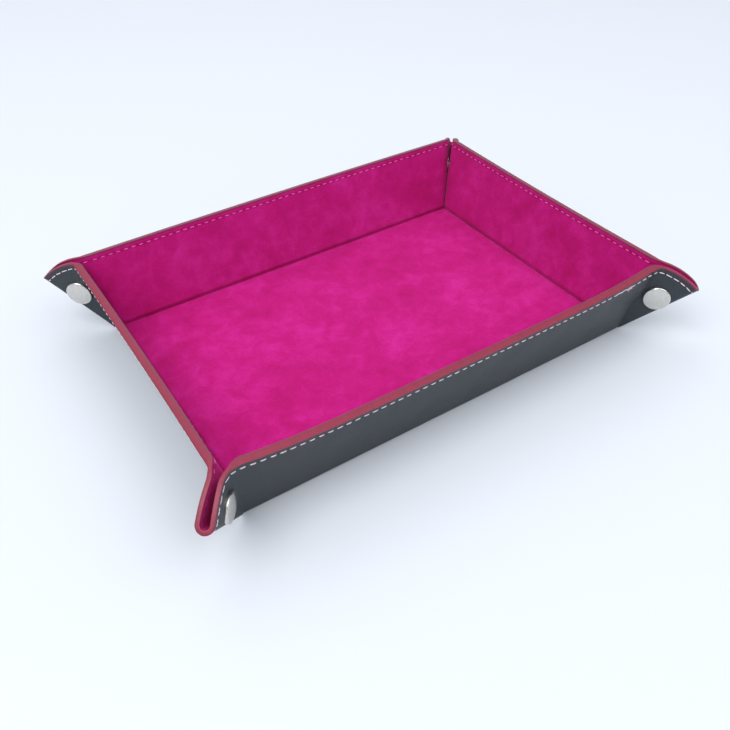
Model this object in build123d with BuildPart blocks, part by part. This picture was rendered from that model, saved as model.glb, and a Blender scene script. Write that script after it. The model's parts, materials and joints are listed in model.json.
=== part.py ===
from build123d import *
import os
from math import acos, asin, atan, atan2, cos, degrees, radians, sin, sqrt, tan

# Folding dice tray. One sheet of leather lined with velvet is stiffened by five boards: a base and
# four walls. It folds on the base's four edges, and each corner of the sheet is pinched into an ear
# that a press snap holds closed. Every piece is drawn on the flat sheet and placed by the plane that
# its panel has when the tray is set up. Millimetres, +Z up, origin under the centre of the base.

os.makedirs("parts", exist_ok=True)

# Driving dimensions
BASE_LENGTH = 200.0
BASE_WIDTH = 136.0
WALL_HEIGHT = 39.4  # up the slope, from fold to rim
FLARE = 15.0  # lean of each wall from vertical, degrees
CORNER_RADIUS = 36.0  # of the flat sheet's corners
LEATHER = 1.0
BASE_EDGE_ROUNDING = 0.45
BOARD = 1.3
VELVET = 0.8
VELVET_EDGE_ROUNDING = 0.48
EAR_VELVET = 0.5
FOLD_HALF_ANGLE = 4.2  # half of the band that turns round the ear's end, degrees at the corner
CREASE_OFF_DIAGONAL = 3.2  # how far a wall's end stands off the corner's diagonal plane, degrees

# Room at the folds
BASE_FOLD_ROOM = 3.0  # from a base fold to the boards and the velvet
LEATHER_FOLD_ROOM = 0.7  # from a base fold to the wall's leather
CREASE_ROOM = 0.45  # from a crease to the ear's leather
WALL_CREASE_ROOM = 0.6  # from a crease to the wall's leather
END_FOLD_ROOM = 0.75  # from an ear's end folds to the leather on either side
OPEN_CREASE_ROOM = 0.9  # from the crease that the model leaves open to the ear's leather
OPEN_CREASE_ANGLE = 1.6  # and the angle that this room widens by
MITRE_ROOM_LOW = 3.4  # from a wall's crease to its board and velvet, at the base
MITRE_ROOM_HIGH = 2.6  # the same at the rim
LINING_ROOM = 1.7  # from an ear's end fold to its velvet
EAR_START = 11.0  # from the corner to where the ear's two halves part
BAND_START = 16.0  # from the corner to where the band at the ear's end has width
LINING_START = 19.5  # from the corner to where there is room for the ear's velvet

# Press snap
SNAP_DISTANCE = 25.2  # from the corner to the snap
CAP_RADIUS = 6.2
CAP_RIM = 0.5  # its straight edge
CAP_SHOULDER = 0.9  # the rounding between edge and face
CAP_DOME = 0.5  # how far its face is domed
POST_RADIUS = 1.5
POST_HOLE_RADIUS = 1.6
SOCKET_RADIUS = 4.4
SOCKET_HEIGHT = 1.15
SOCKET_BORE = 2.45
SOCKET_FLOOR = 0.2
SOCKET_ROUNDING = 0.5
STUD_FLANGE_RADIUS = 4.0
STUD_FLANGE = 0.4
STUD_HEAD_RADIUS = 1.95
STUD_HEIGHT = 1.75
STUD_NECK_RADIUS = 1.6
STUD_NECK = 0.45
STUD_HEAD_TAPER = 0.2  # below the head
STUD_TIP_TAPER = 0.35  # above it
LINING_HOLE_RADIUS = 4.8

FOLD_LEVEL = LEATHER / 2  # the sheet folds in the middle of its leather
FOLD_ANGLE = 90.0 - FLARE
RIM_CENTRE = WALL_HEIGHT - CORNER_RADIUS
ROOT_TWO = sqrt(2)

# Crease angle on the flat sheet: the wall widens upwards until its end meets the pinched ear
wall_lean = sin(radians(FLARE))
CREASE_ANGLE = degrees(
    atan(wall_lean)
    - asin(ROOT_TWO * sin(radians(CREASE_OFF_DIAGONAL)) / sqrt(1 + wall_lean**2))
)
FOLD_A_ANGLE = 45.0 - FOLD_HALF_ANGLE
FOLD_B_ANGLE = 45.0 + FOLD_HALF_ANGLE


def turn(vector, axis, angle):
    """A direction turned about an axis through the origin."""
    return Vector(*vector).rotate(Axis((0, 0, 0), axis), angle)


def fold(vector, folds):
    """A direction of the flat sheet, after the folds between it and the base."""
    for axis, angle in reversed(folds):
        vector = turn(vector, axis, angle)
    return Vector(*vector)


def flat_direction(angle, sx, sy):
    """A ray of the flat sheet from a corner, by its angle from the long wall's outward direction."""
    return Vector(sx * sin(radians(angle)), sy * cos(radians(angle)), 0)


def crease_turn():
    """How far an ear turns out of its wall, from the pinched shape of the left front corner."""
    crease = fold(flat_direction(CREASE_ANGLE, -1, -1), [((1, 0, 0), -FOLD_ANGLE)])
    outward = Vector(-1 / ROOT_TWO, -1 / ROOT_TWO, 0)
    along = Vector(1 / ROOT_TWO, -1 / ROOT_TWO, 0)
    half = radians(FOLD_HALF_ANGLE)
    ear_angle = radians(FOLD_A_ANGLE - CREASE_ANGLE)
    level = (cos(ear_angle) - sin(half) * crease.dot(along)) / cos(half)
    reach = sqrt(crease.dot(outward) ** 2 + crease.Z**2)
    lean = atan2(crease.dot(outward), crease.Z) + acos(level / reach)
    end_fold = (outward * sin(lean) + Vector(0, 0, cos(lean))) * cos(half) + along * sin(half)
    wall_normal = Vector(1, 0, 0).cross(crease).normalized()
    ear_normal = crease.cross(end_fold).normalized()
    band_normal = end_fold.cross(end_fold - along * 2 * sin(half)).normalized()
    crease_angle = atan2(wall_normal.cross(ear_normal).dot(crease), wall_normal.dot(ear_normal))
    end_angle = atan2(ear_normal.cross(band_normal).dot(end_fold), ear_normal.dot(band_normal))
    return degrees(crease_angle), degrees(end_angle)


CREASE_TURN, END_TURN = crease_turn()


def panel_plane(origin, folds):
    """The plane of a panel's leather mid-surface, its x and y those of the flat sheet."""
    return Plane(origin=origin, x_dir=fold((1, 0, 0), folds), z_dir=fold((0, 0, 1), folds))


def write(part, name):
    part.label = name
    export_step(part, f"parts/{name}.step")


def slab(plane, low, high, outline):
    """A plate of the sheet, between two levels above the leather's mid-surface."""
    with BuildPart() as plate:
        with BuildSketch(plane.offset(low)):
            with BuildLine():
                Polyline(*outline, close=True)
            make_face()
        extrude(amount=high - low)
    return plate.part


# Base: leather with rounded edges, board and velvet
with BuildPart() as base_leather:
    with BuildSketch(Plane.XY):
        RectangleRounded(BASE_LENGTH + LEATHER, BASE_WIDTH + LEATHER, LEATHER)
    extrude(amount=LEATHER)
    round_over = base_leather.faces().filter_by(Axis.Z).edges()
    fillet(round_over, BASE_EDGE_ROUNDING)
write(base_leather.part, "base_leather")

with BuildPart() as base_board:
    with BuildSketch(Plane.XY.offset(LEATHER)):
        Rectangle(BASE_LENGTH - 2 * BASE_FOLD_ROOM, BASE_WIDTH - 2 * BASE_FOLD_ROOM)
    extrude(amount=BOARD)
write(base_board.part, "base_board")

with BuildPart() as base_velvet:
    with BuildSketch(Plane.XY.offset(LEATHER + BOARD)):
        Rectangle(BASE_LENGTH - 2 * BASE_FOLD_ROOM, BASE_WIDTH - 2 * BASE_FOLD_ROOM)
    extrude(amount=VELVET)
    top_edges = base_velvet.faces().sort_by(Axis.Z)[-1].edges()
    fillet(top_edges, VELVET_EDGE_ROUNDING)
write(base_velvet.part, "base_velvet")


# Walls: leather, board and velvet, all cut flush at the rim
def wall_outline(half_length, low, room_low, room_high):
    """A wall's outline, from beside its base fold to its rim, in (along, outward)."""
    spread = tan(radians(CREASE_ANGLE))
    square = cos(radians(CREASE_ANGLE))
    bottom = half_length + low * spread - room_low / square
    top = half_length + WALL_HEIGHT * spread - room_high / square
    return [(-bottom, low), (bottom, low), (top, WALL_HEIGHT), (-top, WALL_HEIGHT)]


def build_wall(name, plane, half_length, place):
    layers = [
        ("leather", -LEATHER / 2, LEATHER / 2, LEATHER_FOLD_ROOM, WALL_CREASE_ROOM, WALL_CREASE_ROOM),
        ("board", LEATHER / 2, LEATHER / 2 + BOARD, BASE_FOLD_ROOM, MITRE_ROOM_LOW, MITRE_ROOM_HIGH),
        (
            "velvet",
            LEATHER / 2 + BOARD,
            LEATHER / 2 + BOARD + VELVET,
            BASE_FOLD_ROOM,
            MITRE_ROOM_LOW,
            MITRE_ROOM_HIGH,
        ),
    ]
    for layer, low, high, start, room_low, room_high in layers:
        outline = [place(*point) for point in wall_outline(half_length, start, room_low, room_high)]
        write(slab(plane, low, high, outline), f"{name}_wall_{layer}")


for name, sy in (("front", -1), ("back", 1)):
    long_plane = panel_plane((0, sy * BASE_WIDTH / 2, FOLD_LEVEL), [((1, 0, 0), sy * FOLD_ANGLE)])
    build_wall(name, long_plane, BASE_LENGTH / 2, lambda along, out, sy=sy: (along, sy * out))

for name, sx in (("left", -1), ("right", 1)):
    short_plane = panel_plane((sx * BASE_LENGTH / 2, 0, FOLD_LEVEL), [((0, 1, 0), -sx * FOLD_ANGLE)])
    build_wall(name, short_plane, BASE_WIDTH / 2, lambda along, out, sx=sx: (sx * out, along))


# Ears: each corner of the sheet, from one wall's crease round to the other's
def sector(plane, sx, sy, first, last, start, low, high, hole_radius=0.0, snap_angle=0.0):
    """A piece of a corner between two rays, each given as (angle, room beside it)."""
    reach = 2 * WALL_HEIGHT
    (first_angle, first_room), (last_angle, last_room) = first, last
    ray_one = flat_direction(first_angle, sx, sy)
    ray_two = flat_direction(last_angle, sx, sy)
    side_one = flat_direction(first_angle + 90, sx, sy)
    side_two = flat_direction(last_angle - 90, sx, sy)
    spread = sin(radians(last_angle - first_angle))
    opening = cos(radians(last_angle - first_angle))
    along = (first_room * opening + last_room) / spread
    apex = ray_one * along + side_one * first_room
    corner_one = ray_one * reach + side_one * first_room
    corner_two = ray_two * reach + side_two * last_room
    with BuildPart() as piece:
        with BuildSketch(plane.offset(low)):
            with BuildLine():
                Polyline(*[(p.X, p.Y) for p in (apex, corner_one, corner_two)], close=True)
            make_face()
            with Locations((sx * RIM_CENTRE, sy * RIM_CENTRE)):
                Circle(CORNER_RADIUS, mode=Mode.INTERSECT)
            Circle(start, mode=Mode.SUBTRACT)
            if hole_radius:
                centre = flat_direction(snap_angle, sx, sy) * SNAP_DISTANCE
                with Locations((centre.X, centre.Y)):
                    Circle(hole_radius, mode=Mode.SUBTRACT)
        extrude(amount=high - low)
    return piece.part


def snap_plane(plane, snap_angle, sx, sy, level):
    """The plane of the snap at a level above the leather's mid-surface, z towards the velvet."""
    centre = flat_direction(snap_angle, sx, sy) * SNAP_DISTANCE
    place = plane.origin + plane.x_dir * centre.X + plane.y_dir * centre.Y
    return Plane(origin=place + plane.z_dir * level, x_dir=plane.x_dir, z_dir=plane.z_dir)


def build_cap(face):
    """A round-edged cap on the leather, with the post that passes through it."""
    side = Plane(origin=face.origin, x_dir=face.x_dir, z_dir=-face.y_dir)
    face_radius = CAP_RADIUS - CAP_SHOULDER
    face_edge = (face_radius, -CAP_RIM - CAP_SHOULDER)
    shoulder_reach = CAP_SHOULDER / ROOT_TWO
    shoulder_middle = (face_radius + shoulder_reach, -CAP_RIM - shoulder_reach)
    dome_radius = (face_radius**2 + CAP_DOME**2) / (2 * CAP_DOME)
    half_out = face_radius / 2
    half_drop = dome_radius - sqrt(dome_radius**2 - half_out**2)
    crown = -CAP_RIM - CAP_SHOULDER - CAP_DOME
    with BuildPart() as cap:
        with BuildSketch(side):
            with BuildLine():
                Polyline((0, crown), (0, LEATHER), (POST_RADIUS, LEATHER), (POST_RADIUS, 0))
                Polyline((POST_RADIUS, 0), (CAP_RADIUS, 0), (CAP_RADIUS, -CAP_RIM))
                ThreePointArc((CAP_RADIUS, -CAP_RIM), shoulder_middle, face_edge)
                ThreePointArc(face_edge, (half_out, crown + half_drop), (0, crown))
            make_face()
        revolve(axis=Axis(face.origin, face.z_dir))
    return cap.part


def build_socket(seat):
    """The ring that grips the stud."""
    with BuildPart() as socket:
        with BuildSketch(seat):
            Circle(SOCKET_RADIUS)
        extrude(amount=SOCKET_HEIGHT)
        top_rim = socket.edges().filter_by(GeomType.CIRCLE).sort_by(Axis(seat.origin, seat.z_dir))[-1]
        fillet(top_rim, SOCKET_ROUNDING)
        with BuildSketch(seat.offset(SOCKET_HEIGHT)):
            Circle(SOCKET_BORE)
        extrude(amount=-(SOCKET_HEIGHT - SOCKET_FLOOR), mode=Mode.SUBTRACT)
    return socket.part


def build_stud(seat):
    """The flange and the waisted head that presses into the socket."""
    side = Plane(origin=seat.origin, x_dir=seat.x_dir, z_dir=-seat.y_dir)
    waist = STUD_FLANGE + STUD_NECK
    with BuildPart() as stud:
        with BuildSketch(side):
            with BuildLine():
                Polyline(
                    (0, 0),
                    (STUD_FLANGE_RADIUS, 0),
                    (STUD_FLANGE_RADIUS, STUD_FLANGE),
                    (STUD_NECK_RADIUS, STUD_FLANGE),
                    (STUD_NECK_RADIUS, waist),
                    (STUD_HEAD_RADIUS, waist + STUD_HEAD_TAPER),
                    (STUD_HEAD_RADIUS, STUD_HEIGHT - STUD_TIP_TAPER),
                    (STUD_NECK_RADIUS, STUD_HEIGHT),
                    (0, STUD_HEIGHT),
                    close=True,
                )
            make_face()
        revolve(axis=Axis(seat.origin, seat.z_dir))
    return stud.part


def build_corner(name, sx, sy):
    corner = (sx * BASE_LENGTH / 2, sy * BASE_WIDTH / 2, FOLD_LEVEL)
    hand = sx * sy
    long_folds = [
        ((1, 0, 0), sy * FOLD_ANGLE),
        (flat_direction(CREASE_ANGLE, sx, sy), hand * CREASE_TURN),
    ]
    band_folds = long_folds + [(flat_direction(FOLD_A_ANGLE, sx, sy), hand * END_TURN)]
    short_folds = [
        ((0, 1, 0), -sx * FOLD_ANGLE),
        (flat_direction(90 - CREASE_ANGLE, sx, sy), -hand * CREASE_TURN),
    ]
    long_plane = panel_plane(corner, long_folds)
    band_plane = panel_plane(corner, band_folds)
    short_plane = panel_plane(corner, short_folds)
    long_snap = (CREASE_ANGLE + FOLD_A_ANGLE) / 2
    short_snap = 90 - long_snap

    crease = (CREASE_ANGLE, CREASE_ROOM)
    end_fold = (FOLD_A_ANGLE, END_FOLD_ROOM)
    half = LEATHER / 2
    leather = sector(
        long_plane, sx, sy, crease, end_fold, EAR_START, -half, half, POST_HOLE_RADIUS, long_snap
    )
    write(leather, f"{name}_long_ear_leather")
    velvet = sector(
        long_plane,
        sx,
        sy,
        crease,
        (FOLD_A_ANGLE, LINING_ROOM),
        LINING_START,
        half,
        half + EAR_VELVET,
        LINING_HOLE_RADIUS,
        long_snap,
    )
    write(velvet, f"{name}_long_ear_velvet")

    band_sides = ((FOLD_A_ANGLE, END_FOLD_ROOM), (FOLD_B_ANGLE, END_FOLD_ROOM))
    band = sector(band_plane, sx, sy, *band_sides, BAND_START, -half, half)
    write(band, f"{name}_fold_leather")

    open_crease = (90 - CREASE_ANGLE - OPEN_CREASE_ANGLE, OPEN_CREASE_ROOM - CREASE_ROOM)
    leather = sector(
        short_plane,
        sx,
        sy,
        (FOLD_B_ANGLE, END_FOLD_ROOM),
        open_crease,
        EAR_START,
        -half,
        half,
        POST_HOLE_RADIUS,
        short_snap,
    )
    write(leather, f"{name}_short_ear_leather")
    velvet = sector(
        short_plane,
        sx,
        sy,
        (FOLD_B_ANGLE, LINING_ROOM),
        open_crease,
        LINING_START,
        half,
        half + EAR_VELVET,
        LINING_HOLE_RADIUS,
        short_snap,
    )
    write(velvet, f"{name}_short_ear_velvet")

    write(build_cap(snap_plane(long_plane, long_snap, sx, sy, -half)), f"{name}_long_ear_cap")
    write(build_cap(snap_plane(short_plane, short_snap, sx, sy, -half)), f"{name}_short_ear_cap")
    write(build_socket(snap_plane(long_plane, long_snap, sx, sy, half)), f"{name}_socket")
    write(build_stud(snap_plane(short_plane, short_snap, sx, sy, half)), f"{name}_stud")


for corner_name, sx, sy in (
    ("front_left", -1, -1),
    ("front_right", 1, -1),
    ("back_left", -1, 1),
    ("back_right", 1, 1),
):
    build_corner(corner_name, sx, sy)
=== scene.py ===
import json
from math import acos, asin, atan2, ceil, cos, pi, radians, sin, sqrt, tan

import bpy
import numpy as np
from mathutils import Matrix, Vector


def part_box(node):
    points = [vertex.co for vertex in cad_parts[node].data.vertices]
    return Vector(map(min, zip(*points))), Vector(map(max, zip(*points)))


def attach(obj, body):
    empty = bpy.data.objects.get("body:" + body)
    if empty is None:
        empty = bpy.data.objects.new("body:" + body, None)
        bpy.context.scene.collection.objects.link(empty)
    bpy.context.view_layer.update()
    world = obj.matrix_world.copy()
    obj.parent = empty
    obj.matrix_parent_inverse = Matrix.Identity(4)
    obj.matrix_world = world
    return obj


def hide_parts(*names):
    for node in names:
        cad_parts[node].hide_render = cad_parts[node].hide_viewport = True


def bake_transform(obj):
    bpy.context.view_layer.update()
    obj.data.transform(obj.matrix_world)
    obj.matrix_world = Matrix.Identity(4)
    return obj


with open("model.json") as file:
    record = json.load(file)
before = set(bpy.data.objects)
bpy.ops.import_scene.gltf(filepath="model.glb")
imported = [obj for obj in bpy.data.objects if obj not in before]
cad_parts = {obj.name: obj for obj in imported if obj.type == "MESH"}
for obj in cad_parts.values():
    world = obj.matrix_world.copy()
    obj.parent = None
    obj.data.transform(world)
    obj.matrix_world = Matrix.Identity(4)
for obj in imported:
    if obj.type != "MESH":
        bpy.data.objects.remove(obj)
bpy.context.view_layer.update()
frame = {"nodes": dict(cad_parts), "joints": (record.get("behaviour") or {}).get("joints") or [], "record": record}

# A folding dice tray. Everything soft is drawn on the flat sheet, in metres, and folded up by one
# function, so that leather, velvet, boards, edge paint and stitches all bend in the same way.
# Sheet coordinates: x and y as on the flat sheet, and height above the middle of the leather.

MM = 0.001

# What the frame says
JOINTS = {joint["name"]: joint for joint in frame["joints"]}
RATIOS = {c["joint"]: c["ratio"] for c in frame["record"]["behaviour"]["couplings"]}
HALF_LENGTH = JOINTS["right_wall_fold"]["pos_m"][0]
HALF_WIDTH = JOINTS["back_wall_fold"]["pos_m"][1]
FOLD_LEVEL = JOINTS["front_wall_fold"]["pos_m"][2]
WALL_TURN = radians(JOINTS["front_wall_fold"]["range_deg"][1])
CREASE_TURN = RATIOS["front_left_ear_crease"] * WALL_TURN
END_TURN = RATIOS["front_left_fold_long_side"] * WALL_TURN
crease_axis = Vector(JOINTS["front_left_ear_crease"]["axis"])
end_axis = Vector(JOINTS["front_left_fold_long_side"]["axis"])
CREASE_ANGLE = asin(abs(crease_axis.x))
END_ANGLE = CREASE_ANGLE + acos(abs(crease_axis.dot(end_axis)))
LEATHER_HALF = FOLD_LEVEL
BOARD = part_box("base_board")[1].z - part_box("base_board")[0].z
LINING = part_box("base_velvet")[1].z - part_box("base_velvet")[0].z
BASE_ROOM = HALF_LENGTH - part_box("base_board")[1].x
WALL_HEIGHT = (
    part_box("front_wall_leather")[1].z - FOLD_LEVEL - LEATHER_HALF * cos(WALL_TURN)
) / sin(WALL_TURN)

# Sheet
CORNER_RADIUS = 36 * MM
RIM_CENTRE = WALL_HEIGHT - CORNER_RADIUS
HALF_TURN_ANGLE = pi / 4 - END_ANGLE  # half the band at the ear's end
MITRE_LOW = 3.4 * MM  # board end to crease, at the base
MITRE_SPARE = 0.2 * MM  # board end to the rounded crease, at the rim
BOARD_SLOPE = 2.2 * MM  # over which the velvet comes down off a board
END_SLOPE = 5.5 * MM  # the same at a wall's ends
BOARD_EDGE_SHARE = 0.82  # how far up that slope the board's edge is
EAR_LINING = 0.55 * MM
LEATHER_INNER = 0.42 * MM
LEATHER_OUTER = -LEATHER_HALF
LAYER_GAP = 0.01 * MM  # between leather and velvet
THINNEST_LEATHER = 0.1 * MM  # between the velvet's face and the leather's, where the ear is tight
LOWEST_VELVET = -0.1 * MM

# The leather's dip beside a crease: how deep, how far before the crease, and how wide
CREASE_DIP = 0.3 * MM
CREASE_DIP_PLACE = 0.9 * MM
CREASE_DIP_WIDTH = 1.6 * MM

# The room that the two halves of an ear leave each other
EAR_GAP = 0.04 * MM
LEAST_SLOPE = 0.05  # of the sheet towards the diagonal, below which the halves don't meet
END_REGION = 1.3  # where the band at the ear's end begins, in half widths of the band
END_RADIUS_SHARE = 0.88  # of the band's radius that velvet may fill
NO_LIMIT = 1.0

# Widths of the rounded folds, each side of the fold line
LEAST_BEND = 0.01 * MM
BASE_BEND = 1.5 * MM
END_BEND = 2.1 * MM
CREASE_BENDS = {
    "long": {
        "front_left": 5.2 * MM,
        "front_right": 3.0 * MM,
        "back_left": 3.0 * MM,
        "back_right": 2.4 * MM,
    },
    "short": {
        "front_left": 4.6 * MM,
        "front_right": 3.2 * MM,
        "back_left": 3.8 * MM,
        "back_right": 2.4 * MM,
    },
}

# Seams between pieces, where the sheet is flat
SEAM_AT_BASE = 5.2 * MM
SEAM_AT_CREASE = 7.0 * MM
SEAM_POINT = (SEAM_AT_BASE * tan(CREASE_ANGLE) - SEAM_AT_CREASE / cos(CREASE_ANGLE), SEAM_AT_BASE)
EAR_MIDDLE = (CREASE_ANGLE + END_ANGLE) / 2
EAR_START = 0.6 * MM
END_LAP = 0.45 * MM  # how far one half of an ear laps over the other along its end

# How far the walls bow outwards at mid-rim; the front one is flat along its length and falls back
# only near its ends
FRONT_BOW = 2.4 * MM
FRONT_BOW_POWER = 5.0
BACK_BOW = 1.7 * MM
LEFT_BOW = -0.5 * MM
RIGHT_BOW = -1.4 * MM
BOW_RISE_POWER = 1.4  # how late the bow sets in on the way up to the rim

STITCH_INSET = 2.5 * MM
SEED = 7


# --- folding ---

def smooth(t):
    t = np.clip(t, 0, 1)
    return t * t * (3 - 2 * t)


CREASE_RAY = (sin(CREASE_ANGLE), cos(CREASE_ANGLE))
END_RAY = (sin(END_ANGLE), cos(END_ANGLE))


def past_ray(u, v, ray):
    """How far a sheet point lies past a fold that runs along a ray from the corner."""
    return u * ray[1] - v * ray[0]


def crease_distance(u, v):
    return past_ray(u, v, CREASE_RAY)


def turn_up(points, distance, half_width, across_fold, angle):
    """Points past a rounded fold turned towards the velvet. distance is how far past the fold each
    lay on the flat sheet, and half_width the fold's half width there."""
    half_width = np.maximum(half_width, LEAST_BEND)
    radius = half_width / tan(angle / 2)
    turn = np.clip((distance / half_width + 1) / 2, 0, 1) * angle
    sine, cosine = np.sin(turn), np.cos(turn)
    bent = np.abs(distance) < half_width
    before = distance <= -half_width
    foot_across = np.where(
        bent, radius * sine - half_width, np.where(before, distance, distance * cosine)
    )
    foot_up = np.where(bent, radius * (1 - cosine), np.where(before, 0, distance * sine))
    across = np.array([across_fold[0], across_fold[1], 0.0])
    up = np.array([0.0, 0.0, 1.0])
    along = np.cross(across, up)
    offset = points - distance[..., None] * across
    part_across = offset @ across
    part_up = offset @ up
    new_across = foot_across + part_across * cosine - part_up * sine
    new_up = foot_up + part_across * sine + part_up * cosine
    return (
        (offset @ along)[..., None] * along
        + new_across[..., None] * across
        + new_up[..., None] * up
    )


def end_half_width(u, v):
    reach = np.maximum(u * END_RAY[0] + v * END_RAY[1], 0)
    return reach * tan(HALF_TURN_ANGLE)


def crease_half_width(u, v, widest):
    reach = np.maximum(u * CREASE_RAY[0] + v * CREASE_RAY[1], 0)
    return widest * np.clip(reach / WALL_HEIGHT, 0, 1)


def fold_corner(u, v, w, widest):
    """A point of the sheet beside a corner, folded up: u runs past the wall's end, v outwards."""
    points = np.stack([u, v, w], axis=-1)
    past_end = np.where(v > 0, past_ray(u, v, END_RAY), -1.0)
    points = turn_up(
        points, past_end, end_half_width(u, v), (END_RAY[1], -END_RAY[0]), END_TURN
    )
    past_crease = np.where(v > 0, crease_distance(u, v), -1.0)
    half_width = crease_half_width(u, v, widest)
    points = turn_up(
        points, past_crease, half_width, (CREASE_RAY[1], -CREASE_RAY[0]), -CREASE_TURN
    )
    return turn_up(points, v, np.full_like(v, BASE_BEND), (0, 1), WALL_TURN)


def beside_corner(x, y, on_long):
    """How far sheet points lie past the end of their side's base fold, and how far out from it."""
    u = np.abs(x) - HALF_LENGTH
    v = np.abs(y) - HALF_WIDTH
    return (u, v) if on_long else (v, u)


def widest_crease(x, y, on_long):
    """Each corner's crease is rounded a little differently at the rim."""
    left, front = x < 0, y < 0
    values = CREASE_BENDS["long" if on_long else "short"]
    return np.where(
        front,
        np.where(left, values["front_left"], values["front_right"]),
        np.where(left, values["back_left"], values["back_right"]),
    )


def bow(x, y):
    """How far the sheet stands off its straight panel, towards the velvet."""
    out_y = np.clip((np.abs(y) - HALF_WIDTH) / WALL_HEIGHT, 0, 1) ** BOW_RISE_POWER
    out_x = np.clip((np.abs(x) - HALF_LENGTH) / WALL_HEIGHT, 0, 1) ** BOW_RISE_POWER
    share_x = np.abs(x / HALF_LENGTH)
    along_y = np.clip(1 - (y / HALF_WIDTH) ** 2, 0, 1)
    front = FRONT_BOW * np.clip(1 - share_x**FRONT_BOW_POWER, 0, 1)
    back = BACK_BOW * np.clip(1 - share_x**2, 0, 1)
    long_bow = np.where(y < 0, front, back) * out_y
    short_bow = np.where(x < 0, LEFT_BOW, RIGHT_BOW) * out_x * along_y
    return -long_bow - short_bow


def fold_side(x, y, w, on_long):
    """Folds points that belong to a long wall's side of the sheet, or to a short wall's."""
    sx = np.where(x < 0, -1.0, 1.0)
    sy = np.where(y < 0, -1.0, 1.0)
    u = np.abs(x) - HALF_LENGTH
    v = np.abs(y) - HALF_WIDTH
    w = w + bow(x, y)
    widest = widest_crease(x, y, on_long)
    if on_long:
        folded = fold_corner(u, v, w, widest)
    else:
        folded = fold_corner(v, u, w, widest)[..., [1, 0, 2]]
    rest = np.empty_like(folded)
    rest[..., 0] = sx * (HALF_LENGTH + folded[..., 0])
    rest[..., 1] = sy * (HALF_WIDTH + folded[..., 1])
    rest[..., 2] = FOLD_LEVEL + folded[..., 2]
    return rest


def off_diagonal(rest, on_long):
    """Distance of folded points from the upright plane through the nearest corner's diagonal."""
    past_u = np.abs(rest[..., 0]) - HALF_LENGTH
    past_v = np.abs(rest[..., 1]) - HALF_WIDTH
    gap = (past_v - past_u) / sqrt(2)
    return gap if on_long else -gap


# --- layers ---

def board_share(x, y, on_long):
    """1 over a board, 0 where leather and velvet lie together."""
    past, out = beside_corner(x, y, on_long)
    in_base = np.minimum(-BASE_ROOM - past, -BASE_ROOM - out)
    height = np.clip(out / WALL_HEIGHT, 0, 1)
    mitre = MITRE_LOW + (widest_crease(x, y, on_long) + MITRE_SPARE - MITRE_LOW) * height
    in_wall = smooth((out - BASE_ROOM) / BOARD_SLOPE + BOARD_EDGE_SHARE)
    in_end = smooth((-crease_distance(past, out) - mitre) / END_SLOPE + BOARD_EDGE_SHARE)
    in_base = smooth(in_base / BOARD_SLOPE + BOARD_EDGE_SHARE)
    return np.maximum(in_base, in_wall * in_end)


def room_inside(x, y, on_long):
    """The height at which the folded sheet would meet the other half of its corner."""
    zero = np.zeros_like(x)
    low = off_diagonal(fold_side(x, y, zero, on_long), on_long)
    high = off_diagonal(fold_side(x, y, zero + MM, on_long), on_long)
    slope = (low - high) / MM
    past, out = beside_corner(x, y, on_long)
    meets = slope > LEAST_SLOPE
    limit = np.where(meets, (low - EAR_GAP) / np.maximum(slope, LEAST_SLOPE), NO_LIMIT)
    end_radius = end_half_width(past, out) / tan(END_TURN / 2)
    in_end = past_ray(past, out, END_RAY) > -END_REGION * end_half_width(past, out)
    inside_end = np.minimum(limit, END_RADIUS_SHARE * end_radius)
    limit = np.where(in_end & (out > 0), inside_end, limit)
    return np.where(np.maximum(past, out) > 0, limit, NO_LIMIT)


def velvet_top(x, y, on_long):
    share = board_share(x, y, on_long)
    past, out = beside_corner(x, y, on_long)
    in_ear = smooth(1 + crease_distance(past, out) / MITRE_LOW)
    lining = np.maximum(LINING * share, LINING + (EAR_LINING - LINING) * in_ear)
    top = LEATHER_HALF + lining + BOARD * share
    return np.maximum(np.minimum(top, room_inside(x, y, on_long)), LOWEST_VELVET)


def leather_inner(x, y, on_long):
    return np.minimum(LEATHER_INNER, velvet_top(x, y, on_long) - THINNEST_LEATHER)


def velvet_low(x, y, on_long):
    top = velvet_top(x, y, on_long)
    return np.maximum(leather_inner(x, y, on_long) + LAYER_GAP, top - LINING)


def leather_outer(x, y, on_long):
    """The leather's outer face, which dips in beside the crease where a board ends."""
    past, out = beside_corner(x, y, on_long)
    off_dip = (crease_distance(past, out) + CREASE_DIP_PLACE) / CREASE_DIP_WIDTH
    height = np.clip(out / WALL_HEIGHT, 0, 1)
    return LEATHER_OUTER + CREASE_DIP * np.exp(-(off_dip**2)) * height


# --- rim ---

def inside_rim(u, v):
    """Distance from a sheet point beside a corner to the sheet's edge, inwards."""
    if u <= RIM_CENTRE:
        return WALL_HEIGHT - v
    if v <= RIM_CENTRE:
        return WALL_HEIGHT - u
    return CORNER_RADIUS - sqrt((u - RIM_CENTRE) ** 2 + (v - RIM_CENTRE) ** 2)


def rim_hit(start, direction):
    """Where a line on the sheet meets the edge."""
    low, high = 0.0, 2 * WALL_HEIGHT
    for _ in range(40):
        middle = (low + high) / 2
        if inside_rim(start[0] + middle * direction[0], start[1] + middle * direction[1]) > 0:
            low = middle
        else:
            high = middle
    return (start[0] + low * direction[0], start[1] + low * direction[1])


# --- meshes ---

# Edges sharper than this, in degrees, stay sharp
PANEL_SHARPNESS = 50
EDGE_SHARPNESS = 60
THREAD_SHARPNESS = 80

ROW_CROWDING = 0.6  # 0 for rows evenly spaced from fold to rim, 1 for rows crowded at both ends
materials = {}


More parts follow.
